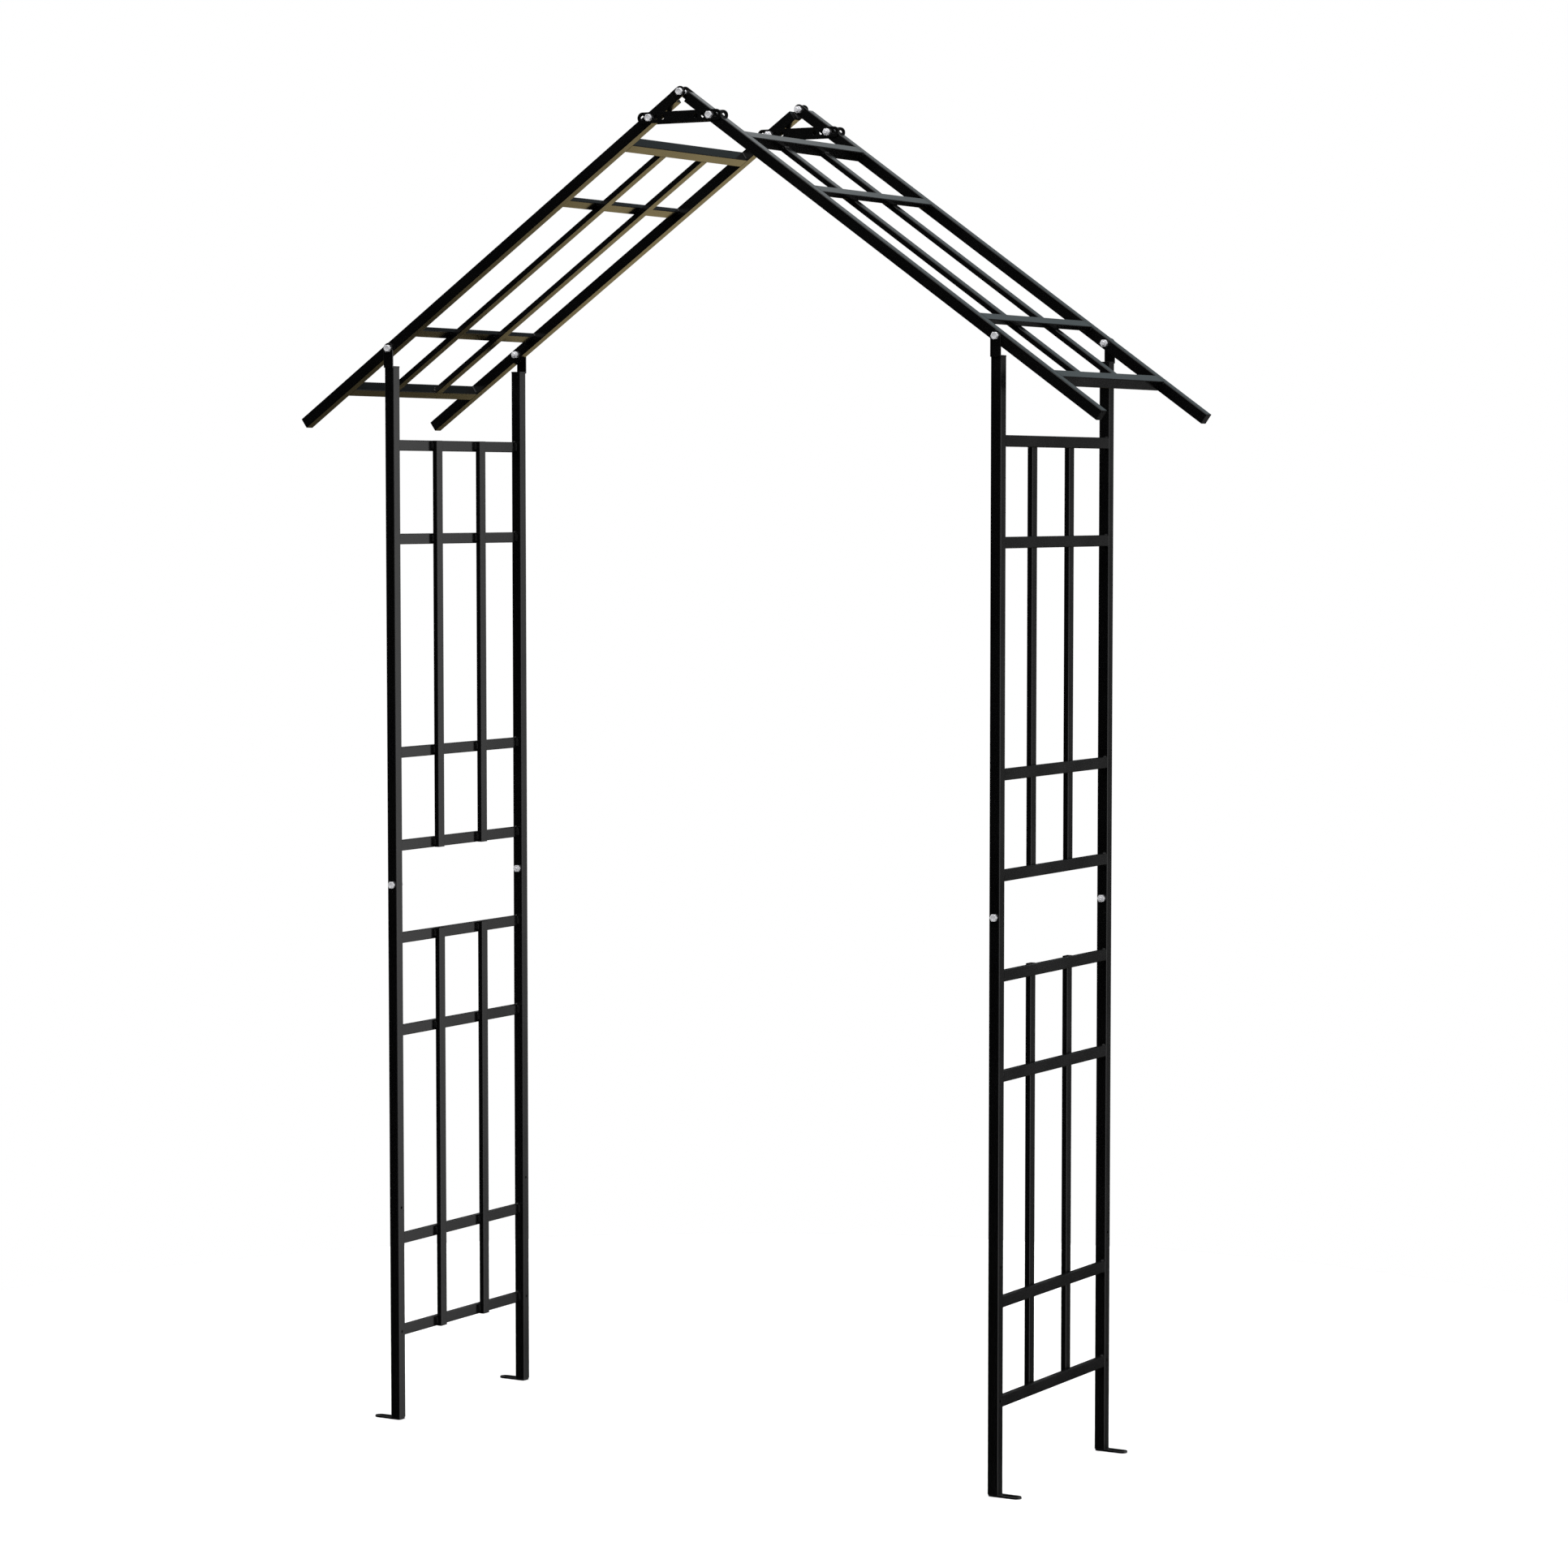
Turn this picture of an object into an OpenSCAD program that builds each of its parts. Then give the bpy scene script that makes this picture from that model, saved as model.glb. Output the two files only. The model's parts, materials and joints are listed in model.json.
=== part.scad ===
// Flat-pack garden arch of square steel tube: two ladder-like side panels, each post
// split at mid height over an inner sleeve, and a pitched roof of two ladder frames
// pinned at the ridge, braced by tie plates and bolted to brackets on the post tops.
// Millimetres, +Z up, X across the walkway, -Y front. Origin on the ground, centred.

/* [Overall] */
// Post centre to post centre across the walkway
span = 1270; // [900:10:1800]
// Post centre to post centre from front to back
depth = 424; // [300:4:700]
// Height of the post tops above the ground
post_top = 1980; // [1700:1:2300]
// Height of the joint between lower and upper post
joint_height = 998; // [800:1:1200]
// Height of the ridge bolts above the ground
ridge_height = 2460.5; // [2200:0.5:2800]
// Roof slope in degrees
slope = 35; // [20:0.5:45]
// Length of a rafter measured down the slope from the ridge bolt
rafter_end = 1015; // [850:5:1200]

/* [Tube] */
// Side of the square tube of posts and rafters
tube = 20; // [16:0.5:30]
// Wall of the square tube
wall = 1.5; // [1:0.1:2.5]
// Outer corner radius of every tube
corner = 1.4; // [0.5:0.1:2.5]
// Thickness of the flat tube of rails and bars, half the post
flat = 10; // [8:0.5:15]
// Wall of the flat tube
flat_wall = 1.2; // [0.8:0.1:2]

/* [Side panels] */
// Height of the lowest rail's centre
rail_base = 166; // [120:1:250]
// Rail pitch of the close pairs
rail_pitch = 175; // [120:1:220]
// Gap between the close pairs of a lower panel
lower_bay = 395.5; // [300:0.5:500]
// Gap between the close pairs of an upper panel
upper_bay = 400.5; // [300:0.5:500]
// Distance from the lower panel's top rail to the upper panel's first rail
section_step = 174.5; // [150:0.5:200]
// Distance of each upright bar from the panel's middle
bar_offset = 72.3; // [50:0.1:100]
// How far each bar runs past its end rails
bar_overrun = 0; // [0:0.5:5]

/* [Roof panels] */
// Distance of the ridge rail's centre down the slope
roof_rail_base = 152.3; // [120:0.1:200]
// Rail pitch of the close pairs on the roof
roof_pitch = 175; // [120:1:220]
// Gap between the close pairs on the roof
roof_bay = 400; // [300:1:500]
// Where the rafter tube begins below the ridge bolt
rafter_start = 17.5; // [15:0.5:30]
// Thickness of the plugs that close the rafter ends
plug = 2; // [1:0.5:5]

/* [Plates] */
// Thickness of brackets, tie plates and foot plates
plate = 3; // [2:0.5:5]
// Thickness of the ridge ears
ear = 2.5; // [2:0.5:4]
// Half length of a tie plate
tie_half = 87; // [70:1:120]
// Distance of each tie bolt from the ridge plane
tie_bolt = 63; // [50:1:90]
// Hole pitch along a tie plate
tie_pitch = 14; // [10:1:20]
// Reach of a foot plate outside the post's centre
foot_out = 51; // [40:1:80]
// Reach of a foot plate inside the post's centre
foot_in = 10; // [10:1:20]
// Width of the ground slot in a foot plate
slot_width = 11; // [6:0.5:14]
// Overall length of the ground slot
slot_length = 34; // [20:1:40]
// Distance of the slot's middle from the post's centre
slot_centre = 29; // [25:0.5:35]

/* [Fasteners] */
// Bolt shank diameter
bolt = 7.8; // [5:0.1:10]
// Bolt hole diameter
bolt_hole = 8.4; // [5.5:0.1:11]
// Hexagon size across the flats
hex_flats = 12; // [8:0.5:17]
// Height of a bolt head
head_height = 5; // [3:0.5:8]
// Height of a nut
nut_height = 6; // [3:0.5:9]
// Thread standing past a nut
thread_past = 3; // [1:0.5:8]
// Height of the joint bolts
joint_bolt = 1014; // [900:1:1100]
// Thread clearance between a nut and its bolt, on the radius
thread_play = 0.05; // [0:0.01:0.2]
// Diameter of the small holes through the posts' outer faces
side_hole = 5; // [3:0.5:8]
// Height of the lower small hole
side_hole_low = 167; // [100:1:250]
// Height of the upper small hole
side_hole_high = 403; // [300:1:500]

/* [Hidden] */
$fn = 48;

half = tube / 2;
px = span / 2;
py = depth / 2;
in_y = py - half;
out_y = py + half;
bore = tube - 2 * wall;
sleeve_play = 0.1;
sleeve_down = 60;
sleeve_up = 62;
lower_rails = [rail_base, rail_base + rail_pitch, rail_base + rail_pitch + lower_bay,
               rail_base + 2 * rail_pitch + lower_bay];
upper_base = rail_base + 2 * rail_pitch + lower_bay + section_step;
upper_rails = [upper_base, upper_base + rail_pitch, upper_base + rail_pitch + upper_bay,
               upper_base + 2 * rail_pitch + upper_bay];
eave_bolt_z = ridge_height - px * tan(slope);
eave_bolt_s = px / cos(slope);
tie_z = ridge_height - tie_bolt * tan(slope);
tie_s = tie_bolt / cos(slope);
end_rails = [roof_rail_base, roof_rail_base + 2 * roof_pitch + roof_bay];
mid_rails = [roof_rail_base + roof_pitch, roof_rail_base + roof_pitch + roof_bay];
tie_holes = [tie_bolt - 2 * tie_pitch, tie_bolt - tie_pitch, tie_bolt, tie_bolt + tie_pitch];

// ---------- helpers ----------

// Rounded rectangle centred on the origin.
module round_rect(a, b, r) {
  square([a - 2 * r, b], center = true);
  square([a, b - 2 * r], center = true);
  for (i = [-1, 1], j = [-1, 1])
    translate([i * (a / 2 - r), j * (b / 2 - r)]) circle(r = r, $fn = 24);
}

// Tube along +Z from the XY plane.
module box_tube(len, a, b, t) {
  difference() {
    linear_extrude(height = len) round_rect(a, b, corner);
    translate([0, 0, -1]) linear_extrude(height = len + 2)
      square([a - 2 * t, b - 2 * t], center = true);
  }
}

// Straight round hole or shank along Y, centred at x, z.
module along_y(d, y0, y1) {
  translate([0, y1, 0]) rotate([90, 0, 0]) cylinder(h = y1 - y0, d = d, $fn = 48);
}

// Hexagonal prism along Y with a flat on top and below.
module hex_y(flats, y0, y1) {
  translate([0, y1, 0]) rotate([90, 0, 0])
    cylinder(h = y1 - y0, d = flats / cos(30), $fn = 6);
}

// Frame of one roof slope: local +X runs down the slope, local +Z is the outer normal.
module on_slope(side) {
  translate([0, 0, ridge_height]) rotate([0, 0, side < 0 ? 180 : 0])
    rotate([0, slope, 0]) children();
}

// One headed bolt along Y: the head outside face_y, the thread past nut_y.
// Both are distances from the middle plane; sy is the end of the arch.
module bolt_y(sy, face_y, nut_y) {
  rotate([0, 0, sy > 0 ? 0 : 180]) {
    hex_y(hex_flats, face_y, face_y + head_height);
    along_y(bolt, nut_y - nut_height - thread_past, face_y);
  }
}

module nut_y(sy, seat) {
  rotate([0, 0, sy > 0 ? 0 : 180]) difference() {
    hex_y(hex_flats, seat - nut_height, seat);
    along_y(bolt + 2 * thread_play, seat - nut_height - 1, seat + 1);
  }
}

// ---------- posts ----------

module post_lower(sx, sy) {
  color([0.04, 0.04, 0.045]) translate([sx * px, sy * py, 0]) difference() {
    translate([0, 0, plate]) box_tube(joint_height - plate, tube, tube, wall);
    for (z = [side_hole_low, side_hole_high])
      translate([-half - 1, 0, z]) rotate([0, 90, 0])
        cylinder(h = tube + 2, d = side_hole, $fn = 32);
  }
}

module post_upper(sx, sy) {
  color([0.04, 0.04, 0.045]) translate([sx * px, sy * py, 0]) difference() {
    translate([0, 0, joint_height]) box_tube(post_top - joint_height, tube, tube, wall);
    translate([0, 0, joint_bolt]) along_y(bolt_hole, -half - 1, half + 1);
  }
}

// Inner sleeve: fast in the lower post, an easy fit in the upper one.
module joint_sleeve(sx, sy) {
  color([0.05, 0.05, 0.055]) translate([sx * px, sy * py, joint_height]) difference() {
    union() {
      translate([0, 0, -sleeve_down / 2]) cube([bore, bore, sleeve_down], center = true);
      translate([0, 0, sleeve_up / 2])
        cube([bore - 2 * sleeve_play, bore - 2 * sleeve_play, sleeve_up], center = true);
    }
    cube([bore - 3, bore - 3, 3 * sleeve_up], center = true);
    translate([0, 0, joint_bolt - joint_height]) along_y(bolt_hole, -half, half);
  }
}

// Slotted plate under a post, reaching outwards.
module foot_plate(sx, sy) {
  color([0.04, 0.04, 0.045]) translate([sx * px, sy * py, 0])
    rotate([0, 0, sx > 0 ? 0 : 180]) linear_extrude(height = plate) difference() {
      union() {
        translate([-foot_in, -half + 5]) square([foot_in + foot_out - half, tube - 10]);
        translate([-foot_in + 5, -half]) square([foot_in + foot_out - half - 5, tube]);
        translate([foot_out - half, 0]) circle(r = half);
        for (j = [-1, 1]) translate([-foot_in + 5, j * (half - 5)]) circle(r = 5);
      }
      for (i = [-1, 1])
        translate([slot_centre + i * (slot_length - slot_width) / 2, 0])
          circle(d = slot_width);
      translate([slot_centre, 0])
        square([slot_length - slot_width, slot_width], center = true);
    }
}

// Angle bracket on a post top: flange on the tube, ear outside the rafter.
module top_bracket(sx, sy) {
  color([0.04, 0.04, 0.045]) translate([sx * px, 0, 0]) rotate([0, 0, sy > 0 ? 0 : 180])
    difference() {
      union() {
        translate([-half, in_y, post_top]) cube([tube, tube + plate, plate]);
        translate([-half, out_y, post_top])
          cube([tube, plate, eave_bolt_z - post_top]);
        translate([0, 0, eave_bolt_z]) along_y(tube, out_y, out_y + plate);
      }
      translate([0, 0, eave_bolt_z]) along_y(bolt_hole, out_y - 1, out_y + plate + 1);
    }
}

// ---------- side panels ----------

// Flat tubes across a panel, in the outer half of the post thickness.
module side_rails(sx, heights) {
  color([0.04, 0.04, 0.045]) for (z = heights)
    translate([sx * (px + flat / 2), in_y, z]) rotate([90, 0, 0])
      box_tube(2 * in_y, flat, tube, flat_wall);
}

// Flat upright tubes laid on the inner side of the rails.
module side_bars(sx, heights) {
  low = heights[0] - half - bar_overrun;
  high = heights[3] + half + bar_overrun;
  color([0.04, 0.04, 0.045]) for (j = [-1, 1])
    translate([sx * (px - flat / 2), j * bar_offset, low])
      box_tube(high - low, flat, tube, flat_wall);
}

// ---------- roof ----------

module rafter(sx, sy) {
  color([0.04, 0.04, 0.045]) on_slope(sx) translate([0, sx * sy * py, 0]) difference() {
    translate([rafter_start, 0, 0]) rotate([0, 90, 0])
      box_tube(rafter_end - rafter_start, tube, tube, wall);
    for (s = [tie_s, eave_bolt_s])
      translate([s, 0, 0]) along_y(bolt_hole, -half - 1, half + 1);
  }
}

// Plugs closing both ends of each rafter.
module rafter_plugs(sx) {
  color([0.04, 0.04, 0.045]) on_slope(sx)
    for (j = [-1, 1], s = [rafter_start + plug / 2, rafter_end - plug / 2])
      translate([s, j * py, 0]) cube([plug, bore, bore], center = true);
}

// Full square tubes that close the ladder frame at ridge and eave.
module roof_end_rails(sx) {
  color([0.04, 0.04, 0.045]) on_slope(sx) for (s = end_rails)
    translate([s, in_y, 0]) rotate([90, 0, 0])
      box_tube(2 * in_y, tube, tube, wall);
}

// Flat tubes in the outer half of the frame.
module roof_mid_rails(sx) {
  color([0.04, 0.04, 0.045]) on_slope(sx) for (s = mid_rails)
    translate([s, in_y, flat / 2]) rotate([90, 0, 0])
      box_tube(2 * in_y, tube, flat, flat_wall);
}

// Flat tubes down the slope, under the mid rails.
module roof_bars(sx) {
  start = end_rails[0] + half;
  color([0.04, 0.04, 0.045]) on_slope(sx) for (j = [-1, 1])
    translate([start, j * bar_offset, -flat / 2]) rotate([0, 90, 0])
      box_tube(end_rails[1] - half - start, flat, tube, flat_wall);
}

// Ears that carry the ridge bolt: outside on the left panel, inside on the right.
module ridge_ears(sx) {
  y0 = sx < 0 ? out_y - ear : in_y;
  color([0.04, 0.04, 0.045]) on_slope(sx) for (j = [-1, 1])
    difference() {
      union() {
        translate([0, j > 0 ? y0 : -y0 - ear, -half]) cube([rafter_start, ear, tube]);
        along_y(tube, j > 0 ? y0 : -y0 - ear, j > 0 ? y0 + ear : -y0);
      }
      along_y(bolt_hole, j > 0 ? y0 - 1 : -y0 - ear - 1, j > 0 ? y0 + ear + 1 : -y0 + 1);
    }
}

// One round-ended perforated flat bar, from y0 outwards.
module tie_plate(y0) {
  translate([0, y0 + plate, tie_z]) rotate([90, 0, 0])
    linear_extrude(height = plate) difference() {
      union() {
        square([2 * (tie_half - half), tube], center = true);
        for (i = [-1, 1]) translate([i * (tie_half - half), 0]) circle(r = half);
      }
      for (i = [-1, 1], x = tie_holes) translate([i * x, 0]) circle(d = bolt_hole);
    }
}

module tie_plates(sy) {
  color([0.04, 0.04, 0.045]) rotate([0, 0, sy > 0 ? 0 : 180]) {
    tie_plate(out_y);
    tie_plate(in_y - plate);
  }
}

// ---------- fasteners ----------

module ridge_bolts() {
  color([0.78, 0.79, 0.80]) for (sy = [-1, 1])
    translate([0, 0, ridge_height]) bolt_y(sy, out_y, in_y);
}

module ridge_nuts() {
  color([0.78, 0.79, 0.80]) for (sy = [-1, 1])
    translate([0, 0, ridge_height]) nut_y(sy, in_y);
}

module tie_bolts() {
  color([0.78, 0.79, 0.80]) for (sx = [-1, 1], sy = [-1, 1])
    translate([sx * tie_bolt, 0, tie_z]) bolt_y(sy, out_y + plate, in_y - plate);
}

module tie_nuts() {
  color([0.78, 0.79, 0.80]) for (sx = [-1, 1], sy = [-1, 1])
    translate([sx * tie_bolt, 0, tie_z]) nut_y(sy, in_y - plate);
}

module eave_bolts() {
  color([0.78, 0.79, 0.80]) for (sx = [-1, 1], sy = [-1, 1])
    translate([sx * px, 0, eave_bolt_z]) bolt_y(sy, out_y + plate, in_y);
}

module eave_nuts() {
  color([0.78, 0.79, 0.80]) for (sx = [-1, 1], sy = [-1, 1])
    translate([sx * px, 0, eave_bolt_z]) nut_y(sy, in_y);
}

module joint_bolts() {
  color([0.78, 0.79, 0.80]) for (sx = [-1, 1], sy = [-1, 1])
    translate([sx * px, 0, joint_bolt]) bolt_y(sy, out_y, in_y);
}

module joint_nuts() {
  color([0.78, 0.79, 0.80]) for (sx = [-1, 1], sy = [-1, 1])
    translate([sx * px, 0, joint_bolt]) nut_y(sy, in_y);
}

post_lower(-1, -1);  // post_lower_lf
post_lower(-1, 1);  // post_lower_lb
post_lower(1, -1);  // post_lower_rf
post_lower(1, 1);  // post_lower_rb
post_upper(-1, -1);  // post_upper_lf
post_upper(-1, 1);  // post_upper_lb
post_upper(1, -1);  // post_upper_rf
post_upper(1, 1);  // post_upper_rb
joint_sleeve(-1, -1);  // joint_sleeve_lf
joint_sleeve(-1, 1);  // joint_sleeve_lb
joint_sleeve(1, -1);  // joint_sleeve_rf
joint_sleeve(1, 1);  // joint_sleeve_rb
foot_plate(-1, -1);  // foot_plate_lf
foot_plate(-1, 1);  // foot_plate_lb
foot_plate(1, -1);  // foot_plate_rf
foot_plate(1, 1);  // foot_plate_rb
top_bracket(-1, -1);  // top_bracket_lf
top_bracket(-1, 1);  // top_bracket_lb
top_bracket(1, -1);  // top_bracket_rf
top_bracket(1, 1);  // top_bracket_rb
side_rails(-1, lower_rails);  // side_rails_left_lower
side_rails(-1, upper_rails);  // side_rails_left_upper
side_rails(1, lower_rails);  // side_rails_right_lower
side_rails(1, upper_rails);  // side_rails_right_upper
side_bars(-1, lower_rails);  // side_bars_left_lower
side_bars(-1, upper_rails);  // side_bars_left_upper
side_bars(1, lower_rails);  // side_bars_right_lower
side_bars(1, upper_rails);  // side_bars_right_upper
rafter(-1, -1);  // rafter_lf
rafter(-1, 1);  // rafter_lb
rafter(1, -1);  // rafter_rf
rafter(1, 1);  // rafter_rb
rafter_plugs(-1);  // rafter_plugs_left
rafter_plugs(1);  // rafter_plugs_right
roof_end_rails(-1);  // roof_end_rails_left
roof_end_rails(1);  // roof_end_rails_right
roof_mid_rails(-1);  // roof_mid_rails_left
roof_mid_rails(1);  // roof_mid_rails_right
roof_bars(-1);  // roof_bars_left
roof_bars(1);  // roof_bars_right
ridge_ears(-1);  // ridge_ears_left
ridge_ears(1);  // ridge_ears_right
tie_plates(-1);  // tie_plates_front
tie_plates(1);  // tie_plates_back
ridge_bolts();
ridge_nuts();
tie_bolts();
tie_nuts();
eave_bolts();
eave_nuts();
joint_bolts();
joint_nuts();
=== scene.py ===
"""Garden trellis arch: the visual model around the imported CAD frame.

Metres, in the CAD's own axes: X across the walkway, -Y the front, +Z up, ground at Z 0.
The CAD tubes and plates stay, and get eased cut edges and a powder-coat material.
Bolts and nuts are remade with chamfers and cut threads, and weld beads join the tubes.
"""

import json
import math

import bmesh
import bpy
from mathutils import Matrix, Vector

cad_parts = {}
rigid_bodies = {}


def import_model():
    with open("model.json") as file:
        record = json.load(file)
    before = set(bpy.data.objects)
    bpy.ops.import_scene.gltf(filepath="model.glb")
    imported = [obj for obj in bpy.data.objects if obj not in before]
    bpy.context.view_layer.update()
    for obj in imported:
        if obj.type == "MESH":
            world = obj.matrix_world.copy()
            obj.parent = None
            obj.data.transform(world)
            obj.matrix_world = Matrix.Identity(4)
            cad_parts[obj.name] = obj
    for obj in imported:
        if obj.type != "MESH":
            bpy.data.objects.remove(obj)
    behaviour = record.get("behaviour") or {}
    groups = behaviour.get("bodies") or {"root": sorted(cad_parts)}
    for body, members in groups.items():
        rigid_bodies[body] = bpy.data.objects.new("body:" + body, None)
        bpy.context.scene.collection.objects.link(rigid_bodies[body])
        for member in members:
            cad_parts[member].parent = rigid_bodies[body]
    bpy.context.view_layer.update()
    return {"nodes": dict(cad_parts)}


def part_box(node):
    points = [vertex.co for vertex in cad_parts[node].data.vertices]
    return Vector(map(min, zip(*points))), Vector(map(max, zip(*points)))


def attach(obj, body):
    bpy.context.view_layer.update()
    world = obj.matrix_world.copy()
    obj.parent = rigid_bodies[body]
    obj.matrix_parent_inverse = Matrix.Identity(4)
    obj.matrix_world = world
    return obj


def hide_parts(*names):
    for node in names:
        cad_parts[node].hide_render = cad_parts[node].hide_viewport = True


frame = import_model()
scene = bpy.context.scene

SIDES = (("left", -1), ("right", 1))
ENDS = (("front", -1), ("back", 1))


# ---------- driving dimensions, read from the frame ----------

def middle(node):
    lo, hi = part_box(node)
    return (lo + hi) / 2


def extent(node, to_local):
    """Lowest and highest corner of a CAD node in another frame."""
    points = [to_local @ v.co for v in frame["nodes"][node].data.vertices]
    return (Vector(min(p[i] for p in points) for i in range(3)),
            Vector(max(p[i] for p in points) for i in range(3)))


post_lo, post_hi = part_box("post_lower_rb")
TUBE = post_hi.x - post_lo.x
HALF = TUBE / 2
POST_X = middle("post_lower_rb").x
POST_Y = middle("post_lower_rb").y
IN_Y = POST_Y - HALF
OUT_Y = POST_Y + HALF
POST_FOOT = post_lo.z
POST_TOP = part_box("post_upper_rb")[1].z
RIDGE_Z = middle("ridge_bolts").z
EAVE_Z = middle("eave_bolts").z
SLOPE = math.atan2(RIDGE_Z - EAVE_Z, POST_X)
# From one rail to the next in a close pair
RAIL_PITCH = 0.175
# Distance of the bars' middle planes from the arch's middle plane
BAR_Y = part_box("side_bars_right_lower")[1].y - HALF


def slope_frame(side):
    """Local X runs down the slope from the ridge bolts, local Z is the outer normal."""
    turn = Matrix.Rotation(math.pi if side < 0 else 0, 4, "Z")
    return Matrix.Translation((0, 0, RIDGE_Z)) @ turn @ Matrix.Rotation(SLOPE, 4, "Y")


def rail_places(low, high):
    """Centres of four rails: two close pairs at the ends of a bay."""
    first, last = low + HALF, high - HALF
    return first, first + RAIL_PITCH, last - RAIL_PITCH, last


# ---------- camera at the photograph's viewpoint ----------

camera = bpy.data.objects.new("camera", bpy.data.cameras.new("camera"))
camera.data.lens = 100
camera.data.sensor_width = 36
camera.location = (4.0867, -6.8896, 1.741)
camera.rotation_euler = (math.radians(90 - 3.777), 0, math.radians(30.144))
scene.collection.objects.link(camera)
scene.camera = camera


# ---------- materials ----------

class Nodes:
    """Short way to add and join shader nodes."""

    def __init__(self, tree):
        self.tree = tree
        tree.nodes.clear()

    def add(self, kind, inputs=None, **settings):
        node = self.tree.nodes.new(kind)
        for name, value in settings.items():
            setattr(node, name, value)
        for name, value in (inputs or {}).items():
            if isinstance(value, bpy.types.NodeSocket):
                self.tree.links.new(value, node.inputs[name])
            else:
                node.inputs[name].default_value = value
        return node


def new_material(name):
    material = bpy.data.materials.new(name)
    material.use_nodes = True
    return material, Nodes(material.node_tree)


def powder_coat():
    """Black powder coat: orange peel, a little cloudiness in tone and gloss.

    Its tone is darker than a real coat's, because the photo's front faces are almost black.
    """
    material, n = new_material("powder_coat")
    place = n.add("ShaderNodeTexCoord").outputs["Object"]
    cloud = n.add("ShaderNodeTexNoise", {"Vector": place, "Scale": 9.0, "Detail": 4.0})
    speck = n.add("ShaderNodeTexNoise", {"Vector": place, "Scale": 900.0, "Detail": 2.0})
    peel = n.add("ShaderNodeTexNoise", {"Vector": place, "Scale": 420.0, "Detail": 3.0,
                                        "Roughness": 0.55})
    tone = n.add("ShaderNodeMixRGB", {"Fac": cloud.outputs["Fac"],
                                      "Color1": (0.0010, 0.0010, 0.0011, 1),
                                      "Color2": (0.0024, 0.0024, 0.0025, 1)})
    gloss = n.add("ShaderNodeMapRange", {"Value": cloud.outputs["Fac"], "From Min": 0.3,
                                         "From Max": 0.7, "To Min": 0.17, "To Max": 0.23})
    fine = n.add("ShaderNodeBump", {"Height": speck.outputs["Fac"], "Strength": 0.2,
                                    "Distance": 0.000005})
    bump = n.add("ShaderNodeBump", {"Height": peel.outputs["Fac"], "Strength": 0.6,
                                    "Distance": 0.000015, "Normal": fine.outputs["Normal"]})
    shader = n.add("ShaderNodeBsdfPrincipled", {
        "Base Color": tone.outputs["Color"], "Roughness": gloss.outputs["Result"],
        "Normal": bump.outputs["Normal"], "IOR": 1.5})
    n.add("ShaderNodeOutputMaterial", {"Surface": shader.outputs["BSDF"]})
    return material


def zinc_plate():
    """Bright zinc on fasteners: pale grey, faint blotches and turning marks."""
    material, n = new_material("zinc_plate")
    place = n.add("ShaderNodeTexCoord").outputs["Object"]
    blotch = n.add("ShaderNodeTexNoise", {"Vector": place, "Scale": 260.0, "Detail": 4.0})
    scratch = n.add("ShaderNodeTexNoise", {"Vector": place, "Scale": 2600.0, "Detail": 2.0})
    tone = n.add("ShaderNodeMixRGB", {"Fac": blotch.outputs["Fac"],
                                      "Color1": (0.66, 0.66, 0.69, 1),
                                      "Color2": (0.86, 0.86, 0.88, 1)})
    gloss = n.add("ShaderNodeMapRange", {"Value": blotch.outputs["Fac"], "From Min": 0.3,
                                         "From Max": 0.7, "To Min": 0.38, "To Max": 0.55})
    bump = n.add("ShaderNodeBump", {"Height": scratch.outputs["Fac"], "Strength": 0.4,
                                    "Distance": 0.00001})
    shader = n.add("ShaderNodeBsdfPrincipled", {
        "Base Color": tone.outputs["Color"], "Roughness": gloss.outputs["Result"],
        "Normal": bump.outputs["Normal"], "Metallic": 0.3})
    n.add("ShaderNodeOutputMaterial", {"Surface": shader.outputs["BSDF"]})
    return material


COAT = powder_coat()
ZINC = zinc_plate()


# ---------- the CAD nodes: rounded cut edges and the coat ----------

# Points of the imported mesh closer than this are one
SEAM = 0.00001
# Faces within this angle are merged, and edges over this one are eased, in degrees
FLAT_WITHIN = 0.5
EDGE_OVER = 40
# Width of the eased edge on plates and on tubes
PLATE_EDGE = 0.0004
TUBE_EDGE = 0.00025
FASTENERS = ("ridge", "tie", "eave", "joint")
PLATES = ("foot_plate", "top_bracket", "ridge_ears", "tie_plates")


def dress(node, material, edge):
    """The CAD mesh with its cut edges eased by edge metres, and a material."""
    piece = frame["nodes"][node]
    piece.data.materials.clear()
    piece.data.materials.append(material)
    weld = piece.modifiers.new("join_seams", "WELD")
    weld.merge_threshold = SEAM
    merge = piece.modifiers.new("merge_flats", "DECIMATE")
    merge.decimate_type = "DISSOLVE"
    merge.angle_limit = math.radians(FLAT_WITHIN)
    ease = piece.modifiers.new("eased_edges", "BEVEL")
    ease.width = edge
    ease.segments = 2
    ease.limit_method = "ANGLE"
    ease.angle_limit = math.radians(EDGE_OVER)
    smooth = piece.modifiers.new("even_shading", "WEIGHTED_NORMAL")
    smooth.keep_sharp = False


for name in frame["nodes"]:
    if not name.endswith(("_bolts", "_nuts")):
        dress(name, COAT, PLATE_EDGE if name.startswith(PLATES) else TUBE_EDGE)


# ---------- weld beads ----------

X, Y, Z = Vector((1, 0, 0)), Vector((0, 1, 0)), Vector((0, 0, 1))
# Points closer than this are one
MERGE = 0.000001
# Length of a bead's leg on each face, and its share that is sunk into the corner
BEAD_LEG = 0.0024
BEAD_SUNK = 0.2
# Distance between ripples, their depth as a share, and rings to each ripple
BEAD_RIPPLE = 0.0016
BEAD_DEPTH = 0.07
BEAD_STEPS = 5
# Sides of the bead's arc, its flattening at the middle, and its size at the very end
BEAD_ARC = 5
BEAD_FLAT = 0.28
BEAD_END = 0.25
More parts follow.
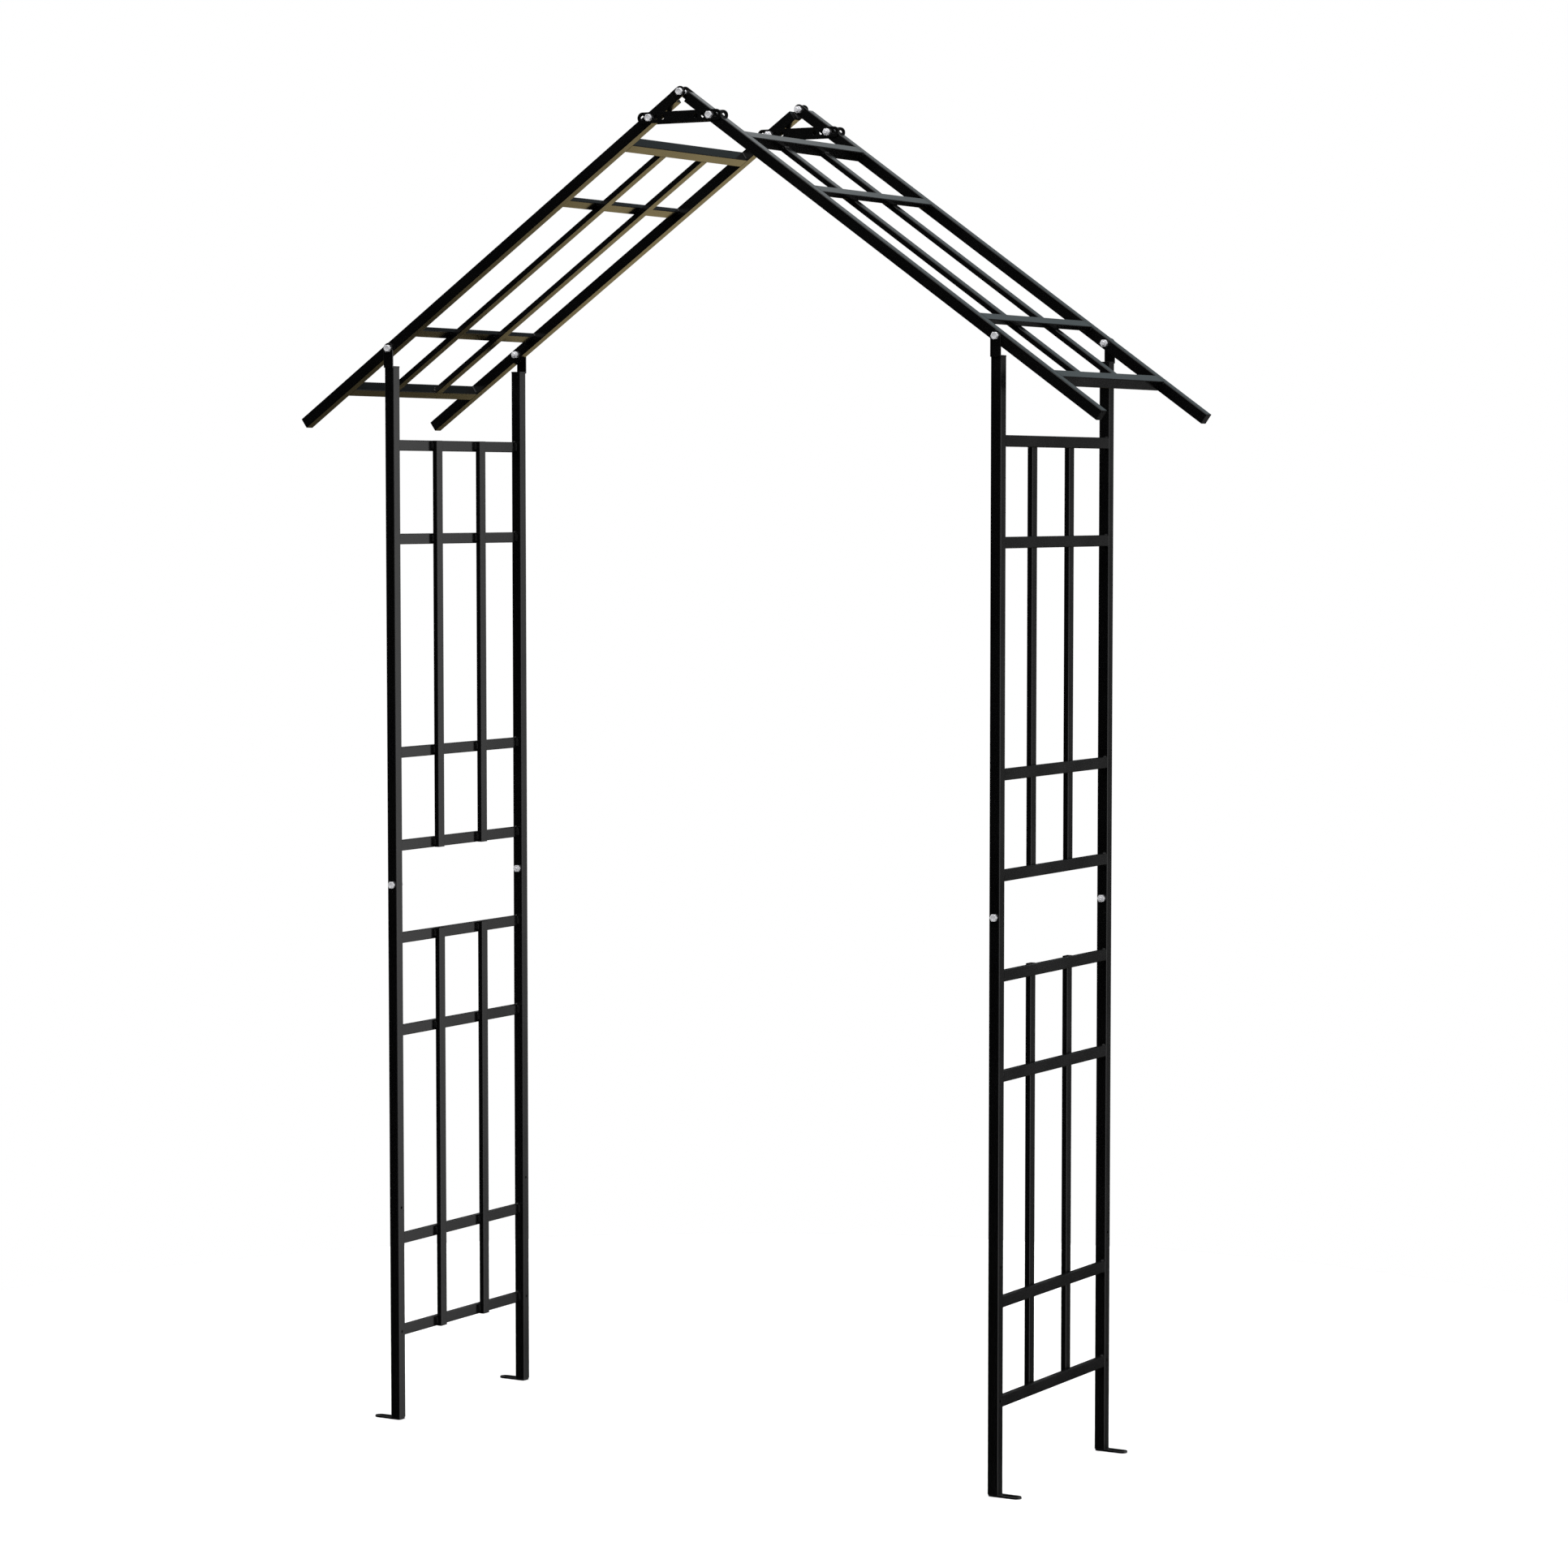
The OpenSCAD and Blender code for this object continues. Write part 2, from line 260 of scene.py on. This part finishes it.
# A bead stops this far from a rounded corner, this far from a middle plane, and a bead
# along a bar spans this share of its half width
INSET = 0.0018
CLEAR = 0.001
BAR_SHARE = 0.7
# Thickness of a ridge ear
EAR = 0.0025


def bead(bm, start, end, u, v):
    """A rippled fillet along start to end; u and v point along the two faces it joins."""
    start, end, u, v = Vector(start), Vector(end), Vector(u), Vector(v)
    run = end - start
    count = max(3, round(run.length / BEAD_RIPPLE)) * BEAD_STEPS
    rings = []
    for i in range(count + 1):
        t = i / count
        ripple = 1 - BEAD_DEPTH + BEAD_DEPTH * abs(math.sin(math.pi * i / BEAD_STEPS))
        near_end = min(t, 1 - t) * run.length / BEAD_LEG
        taper = math.sqrt(max(0.0, 1 - (1 - min(1, near_end)) ** 2))
        size = BEAD_LEG * ripple * (BEAD_END + (1 - BEAD_END) * taper)
        place = start + run * t
        ring = [bm.verts.new(place - (u + v) * BEAD_LEG * BEAD_SUNK)]
        for k in range(BEAD_ARC + 1):
            a = math.pi / 2 * k / BEAD_ARC
            bulge = 1 - BEAD_FLAT + BEAD_FLAT * abs(math.cos(2 * a))
            way = u * math.cos(a) + v * math.sin(a)
            ring.append(bm.verts.new(place + way * size * bulge))
        rings.append(ring)
    for low, high in zip(rings, rings[1:]):
        for k in range(len(low)):
            m = (k + 1) % len(low)
            bm.faces.new((low[k], low[m], high[m], high[k]))
    bm.faces.new(reversed(rings[0]))
    bm.faces.new(rings[-1])


def finish_mesh(name, bm, material, smooth_angle=40, replaces=()):
    """Turns bm into a piece that rides on the root body."""
    bmesh.ops.remove_doubles(bm, verts=bm.verts, dist=MERGE)
    bmesh.ops.dissolve_degenerate(bm, edges=bm.edges, dist=MERGE)
    bmesh.ops.recalc_face_normals(bm, faces=bm.faces)
    mesh = bpy.data.meshes.new(name)
    bm.to_mesh(mesh)
    bm.free()
    mesh.polygons.foreach_set("use_smooth", [True] * len(mesh.polygons))
    mesh.set_sharp_from_angle(angle=math.radians(smooth_angle))
    mesh.materials.append(material)
    piece = bpy.data.objects.new(name, mesh)
    scene.collection.objects.link(piece)
    if replaces:
        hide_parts(*replaces)
    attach(piece, "root")
    return piece


def side_panel_welds(side):
    """Rails to posts, bars to rails, post to foot plate and bracket, on one side."""
    bm = bmesh.new()
    name = "right" if side > 0 else "left"
    plane = side * POST_X
    out = X * side
    for part in ("lower", "upper"):
        lo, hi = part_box(f"side_rails_{name}_{part}")
        for z in rail_places(lo.z, hi.z):
            for _, end in ENDS:
                y = end * IN_Y
                for edge in (-1, 1):
                    seam = Vector((plane, y, z + edge * HALF))
                    bead(bm, seam + out * CLEAR, seam + out * (HALF - INSET), Z * edge, -Y * end)
                seam = Vector((plane, y, z))
                bead(bm, seam - Z * (HALF - INSET), seam + Z * (HALF - INSET), -out, -Y * end)
                for bar in (-1, 1):
                    seam = Vector((plane, end * BAR_Y + bar * HALF, z))
                    bead(bm, seam - Z * HALF * BAR_SHARE, seam + Z * HALF * BAR_SHARE, -out, Y * bar)
    for _, end in ENDS:
        seam = Vector((plane, end * POST_Y, POST_FOOT)) + out * HALF
        bead(bm, seam - Y * (HALF - INSET), seam + Y * (HALF - INSET), out, Z)
        seam = Vector((plane, end * OUT_Y, POST_TOP))
        bead(bm, seam - X * (HALF - INSET), seam + X * (HALF - INSET), Y * end, -Z)
    return finish_mesh(f"weld_beads_side_{name}", bm, COAT)


def roof_welds(side):
    """Rails to rafters, bars to rails, and the ridge ears, on one slope."""
    bm = bmesh.new()
    name = "right" if side > 0 else "left"
    to_local = slope_frame(side).inverted()
    lo, hi = extent(f"roof_end_rails_{name}", to_local)
    rails = rail_places(lo.x, hi.x)
    for i, s in enumerate(rails):
        full = i in (0, 3)
        for _, end in ENDS:
            y = end * IN_Y
            for edge in (-1, 1):
                seam = Vector((s + edge * HALF, y, 0))
                bottom = -(HALF - INSET) if full else CLEAR
                bead(bm, seam + Z * bottom, seam + Z * (HALF - INSET), X * edge, -Y * end)
            if not full:
                bead(bm, Vector((s - HALF + INSET, y, 0)), Vector((s + HALF - INSET, y, 0)),
                     -Z, -Y * end)
                for bar in (-1, 1):
                    seam = Vector((s, end * BAR_Y + bar * HALF, 0))
                    bead(bm, seam - X * HALF * BAR_SHARE, seam + X * HALF * BAR_SHARE, -Z, Y * bar)
            else:
                inward = 1 if i == 0 else -1
                seam = Vector((s + inward * HALF, end * BAR_Y, 0))
                bead(bm, seam - Y * (HALF - INSET), seam + Y * (HALF - INSET), X * inward, Z)
                for bar in (-1, 1):
                    corner = seam + Y * bar * HALF
                    bead(bm, corner - Z * (HALF - INSET), corner - Z * CLEAR, X * inward, Y * bar)
    rafter = "rafter_rb" if side > 0 else "rafter_lb"
    tube_start = extent(rafter, to_local)[0].x
    ear_lo, ear_hi = extent(f"ridge_ears_{name}", to_local)
    for _, end in ENDS:
        outer_face = ear_hi.y > POST_Y
        y = end * (ear_hi.y - EAR) if outer_face else end * (IN_Y + EAR)
        towards = -Y * end if outer_face else Y * end
        seam = Vector((tube_start, y, 0))
        bead(bm, seam - Z * (HALF - INSET), seam + Z * (HALF - INSET), -X, towards)
    bm.transform(slope_frame(side))
    return finish_mesh(f"weld_beads_roof_{name}", bm, COAT)


for _, side in SIDES:
    side_panel_welds(side)
    roof_welds(side)


# ---------- bolts and nuts ----------

# Hexagon across its flats, points around it, and the heights of head and nut
HEX_FLATS = 0.012
HEX_STEPS = 72
HEAD = 0.005
NUT = 0.006
# Radius where the turned chamfer begins, its slope, and the washer face's height
CROWN = HEX_FLATS / 2 * 0.96
CHAMFER = math.tan(math.radians(30))
WASHER = 0.0004
# The dish in a head: its radius, rim width, first step and full depth
DISH = CROWN * 0.62
DISH_RIM = 0.0004
DISH_STEP = 0.0003
DISH_DEPTH = 0.00045
# Thread: crest and root radius, pitch, cut length, chamfer at the tip
THREAD_R = 0.0039
THREAD_ROOT = 0.00325
THREAD_PITCH = 0.00125
THREAD_LENGTH = 0.022
THREAD_TIP = 0.0008
# Points to a turn and rows to a pitch
THREAD_TURN = 36
THREAD_CUTS = 6
# The plain shank is this much thinner than the crest and laps the thread this far
SHANK_R = THREAD_R - 0.0001
SHANK_LAP = 0.0002
# A nut's bore is this much over the crest, with a countersink this deep
BORE_R = THREAD_R + 0.00005
SINK = 0.0005


def hex_radius(angle):
    """Distance from the axis to the hexagon's side, with corners at 0, 60, 120 degrees."""
    wedge = math.radians(60)
    return HEX_FLATS / 2 / math.cos(angle % wedge - wedge / 2)


def ring(bm, radius, height):
    """A ring of vertices; radius and height are numbers or functions of the angle."""
    verts = []
    for i in range(HEX_STEPS):
        a = 2 * math.pi * i / HEX_STEPS
        r = radius(a) if callable(radius) else radius
        z = height(a) if callable(height) else height
        verts.append(bm.verts.new((r * math.cos(a), r * math.sin(a), z)))
    return verts


def skin(bm, rings, close=False):
    """Quads between rings one after another, and back to the first if close."""
    pairs = list(zip(rings, rings[1:])) + ([(rings[-1], rings[0])] if close else [])
    for low, high in pairs:
        for i in range(HEX_STEPS):
            j = (i + 1) % HEX_STEPS
            bm.faces.new((low[i], low[j], high[j], high[i]))


def chamfered(height, sign):
    """Height of the hexagon's wall where the 30 degree turning cone meets it."""
    return lambda a: height - sign * (hex_radius(a) - CROWN) * CHAMFER


def bolt(bm, length):
    """A hexagon bolt: head from Z 0 up, shank down, its last part threaded."""
    rings = [ring(bm, SHANK_R, 0), ring(bm, CROWN, 0), ring(bm, CROWN, WASHER),
             ring(bm, hex_radius, WASHER), ring(bm, hex_radius, chamfered(HEAD, 1)),
             ring(bm, CROWN, HEAD), ring(bm, DISH + DISH_RIM, HEAD),
             ring(bm, DISH, HEAD - DISH_STEP), ring(bm, DISH / 2, HEAD - DISH_DEPTH)]
    skin(bm, rings)
    bm.faces.new(rings[-1])
    thread_top = -max(length - THREAD_LENGTH, 0.001)
    shank = [rings[0], ring(bm, SHANK_R, thread_top)]
    skin(bm, shank)
    bm.faces.new(shank[-1])
    thread(bm, thread_top + SHANK_LAP, -length)


def thread(bm, top, bottom):
    """Cut thread as one helical skin between two heights, chamfered at the tip."""
    turns = math.ceil((top - bottom) / THREAD_PITCH) + 1
    rows = []
    flank = (THREAD_ROOT + THREAD_R) / 2
    profile = (THREAD_ROOT, THREAD_ROOT, flank, THREAD_R, THREAD_R, flank)
    for j in range((turns + 1) * THREAD_CUTS + 1):
        row = []
        for i in range(THREAD_TURN + 1):
            z = bottom + THREAD_PITCH * (j / THREAD_CUTS + i / THREAD_TURN - 1)
            z = min(max(z, bottom), top)
            r = min(profile[j % THREAD_CUTS], THREAD_R - THREAD_TIP + (z - bottom))
            if z == top:
                r = THREAD_ROOT
            a = 2 * math.pi * i / THREAD_TURN
            row.append(bm.verts.new((r * math.cos(a), r * math.sin(a), z)))
        rows.append(row)
    for low, high in zip(rows, rows[1:]):
        for i in range(THREAD_TURN):
            bm.faces.new((low[i], low[i + 1], high[i + 1], high[i]))
    for row in (rows[0], rows[-1]):
        bm.faces.new(row[:-1])


def nut(bm):
    """A hexagon nut from Z 0 up, chamfered on both faces, with a countersunk bore."""
    rings = [ring(bm, BORE_R, SINK), ring(bm, BORE_R + SINK, 0), ring(bm, CROWN, 0),
             ring(bm, hex_radius, chamfered(0, -1)), ring(bm, hex_radius, chamfered(NUT, 1)),
             ring(bm, CROWN, NUT), ring(bm, BORE_R + SINK, NUT), ring(bm, BORE_R, NUT - SINK)]
    skin(bm, rings, close=True)


def turned_out(x, z, end, face):
    """Local Z points out of the arch's end, from the face distance; local X stays across."""
    out = Y * end
    turn = Matrix((X, out.cross(X), out)).transposed().to_4x4()
    return Matrix.Translation((x, end * face, z)) @ turn


def repeated(build, places):
    """One bmesh that holds what build makes, at every place."""
    whole = bmesh.new()
    for place in places:
        build(whole)
        fresh = [v for v in whole.verts if not v.tag]
        bmesh.ops.transform(whole, matrix=place, verts=fresh)
        for v in fresh:
            v.tag = True
    return whole


def fasteners(group):
    """All bolts and all nuts of one group, each as one piece."""
    bolts, nuts = f"{group}_bolts", f"{group}_nuts"
    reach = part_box(bolts)[1].x - HEX_FLATS / 2 / math.cos(math.radians(30))
    across = (0,) if group == "ridge" else (-reach, reach)
    under_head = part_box(bolts)[1].y - HEAD
    tip = min(abs(v.co.y) for v in frame["nodes"][bolts].data.vertices)
    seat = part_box(nuts)[1].y
    z = middle(bolts).z
    for name, build, face in ((bolts, lambda bm: bolt(bm, under_head - tip), under_head),
                              (nuts, nut, seat - NUT)):
        places = [turned_out(x, z, end, face) for x in across for _, end in ENDS]
        finish_mesh(f"{name}_detailed", repeated(build, places), ZINC, 25, [name])


for group in FASTENERS:
    fasteners(group)


# ---------- stage: floor, studio light ----------

FLOOR_RADIUS = 2.2
FLOOR_Z = -0.0005


def floor():
    """A plain white disc; reflections leave it out, so that black faces stay black."""
    bm = bmesh.new()
    bmesh.ops.create_circle(bm, cap_ends=True, segments=96, radius=FLOOR_RADIUS)
    mesh = bpy.data.meshes.new("floor")
    bm.to_mesh(mesh)
    bm.free()
    material, n = new_material("floor")
    place = n.add("ShaderNodeTexCoord").outputs["Object"]
    grain = n.add("ShaderNodeTexNoise", {"Vector": place, "Scale": 3.0, "Detail": 3.0})
    tone = n.add("ShaderNodeMixRGB", {"Fac": grain.outputs["Fac"],
                                      "Color1": (0.94, 0.94, 0.94, 1),
                                      "Color2": (0.96, 0.96, 0.96, 1)})
    shader = n.add("ShaderNodeBsdfDiffuse", {"Color": tone.outputs["Color"]})
    n.add("ShaderNodeOutputMaterial", {"Surface": shader.outputs["BSDF"]})
    mesh.materials.append(material)
    piece = bpy.data.objects.new("floor", mesh)
    piece.location.z = FLOOR_Z
    piece.visible_glossy = False
    piece.visible_shadow = False
    scene.collection.objects.link(piece)


WHITE = (1.0, 1.0, 1.0)
COOL = (0.8, 0.95, 1.0)
WARM = (1.0, 0.8, 0.4)
# Azimuth from +X towards +Y, height, inner and outer radius, all in degrees; tint, strength.
# The first seven strengths, and the power of the warm and side panels, began as a fit to the
# photo's tones and were rounded. The others were set one by one.
GLOWS = (
    (30, 0, 16, 30, WHITE, 1.5),
    (66, 6, 6, 24, WHITE, 0.1),
    (124, 36, 6, 22, WHITE, 1.5),
    (104, 26, 4, 14, COOL, 0.25),
    (92, 31, 3, 13, COOL, 0.3),
    (100, -38, 6, 20, WARM, 0.2),
    (-90, 45, 12, 45, WHITE, 1.5),
    (-90, 88, 10, 40, WHITE, 0.4),
    (-88, 0, 4, 15, WHITE, 0.7),
    (-5, -4, 8, 28, WHITE, 0.9),
    (92, -4, 4, 15, WHITE, 0.9),
    (180, -4, 8, 30, WHITE, 0.9))


def studio_world():
    """Soft glows of a studio, by direction; the camera itself sees plain white."""
    world = bpy.data.worlds.new("studio")
    world.use_nodes = True
    scene.world = world
    n = Nodes(world.node_tree)
    way = n.add("ShaderNodeTexCoord").outputs["Generated"]
    total = None
    for azimuth, height, inner, outer, colour, strength in GLOWS:
        a, e = math.radians(azimuth), math.radians(height)
        aim = (math.cos(a) * math.cos(e), math.sin(a) * math.cos(e), math.sin(e))
        dot = n.add("ShaderNodeVectorMath", {0: way, 1: aim}, operation="DOT_PRODUCT")
        share = n.add("ShaderNodeMapRange", {
            "Value": dot.outputs["Value"], "From Min": math.cos(math.radians(outer)),
            "From Max": math.cos(math.radians(inner))}, interpolation_type="SMOOTHSTEP")
        glow = n.add("ShaderNodeVectorMath", {0: [c * strength for c in colour],
                                              3: share.outputs["Result"]}, operation="SCALE")
        if total is None:
            total = glow.outputs["Vector"]
        else:
            total = n.add("ShaderNodeVectorMath", {0: total, 1: glow.outputs["Vector"]},
                          operation="ADD").outputs["Vector"]
    light = n.add("ShaderNodeBackground", {"Color": total})
    white = n.add("ShaderNodeBackground", {"Color": (1, 1, 1, 1), "Strength": 1.0})
    seen = n.add("ShaderNodeLightPath").outputs["Is Camera Ray"]
    mix = n.add("ShaderNodeMixShader", {0: seen, 1: light.outputs["Background"],
                                        2: white.outputs["Background"]})
    n.add("ShaderNodeOutputWorld", {"Surface": mix.outputs["Shader"]})


def soft_box(name, place, aim, width, height, power):
    """A rectangular lamp, unseen by the camera."""
    lamp = bpy.data.lights.new(name, "AREA")
    lamp.shape = "RECTANGLE"
    lamp.size, lamp.size_y = width, height
    lamp.energy = power
    piece = bpy.data.objects.new(name, lamp)
    piece.location = place
    piece.rotation_euler = (Vector(place) - Vector(aim)).to_track_quat("Z", "Y").to_euler()
    piece.visible_camera = False
    scene.collection.objects.link(piece)
    return piece


def light_only(lamp, pieces):
    """Keeps a lamp's light on some pieces."""
    group = bpy.data.collections.new(lamp.name + "_receivers")
    for piece in pieces:
        group.objects.link(piece)
    lamp.light_linking.receiver_collection = group


scene.view_settings.view_transform = "Standard"
floor()
studio_world()
overhead = soft_box("overhead", place=(0, 0, 5.5), aim=(0, 0, 0),
                    width=5.0, height=5.0, power=420)
overhead.visible_glossy = False
# Only the underside of the left roof looks tan in the photo
warm = soft_box("warm_panel", place=(-0.65, 2.6, 1.07), aim=(-0.65, 0, 1.07),
                width=1.7, height=1.15, power=6.5)
warm.data.color = WARM
side = soft_box("side_panel", place=(1.2, 2.3, 0.8), aim=(0, 2.3, 0.8),
                width=0.6, height=3.2, power=2)
light_only(side, [o for o in scene.objects if o.type == "MESH" and o.name != "floor"])
LEFT_ROOF = ("rafter_l", "rafter_plugs_left", "roof_end_rails_left", "roof_mid_rails_left",
             "roof_bars_left", "ridge_ears_left", "weld_beads_roof_left")
light_only(warm, [o for o in scene.objects if o.name.startswith(LEFT_ROOF)])
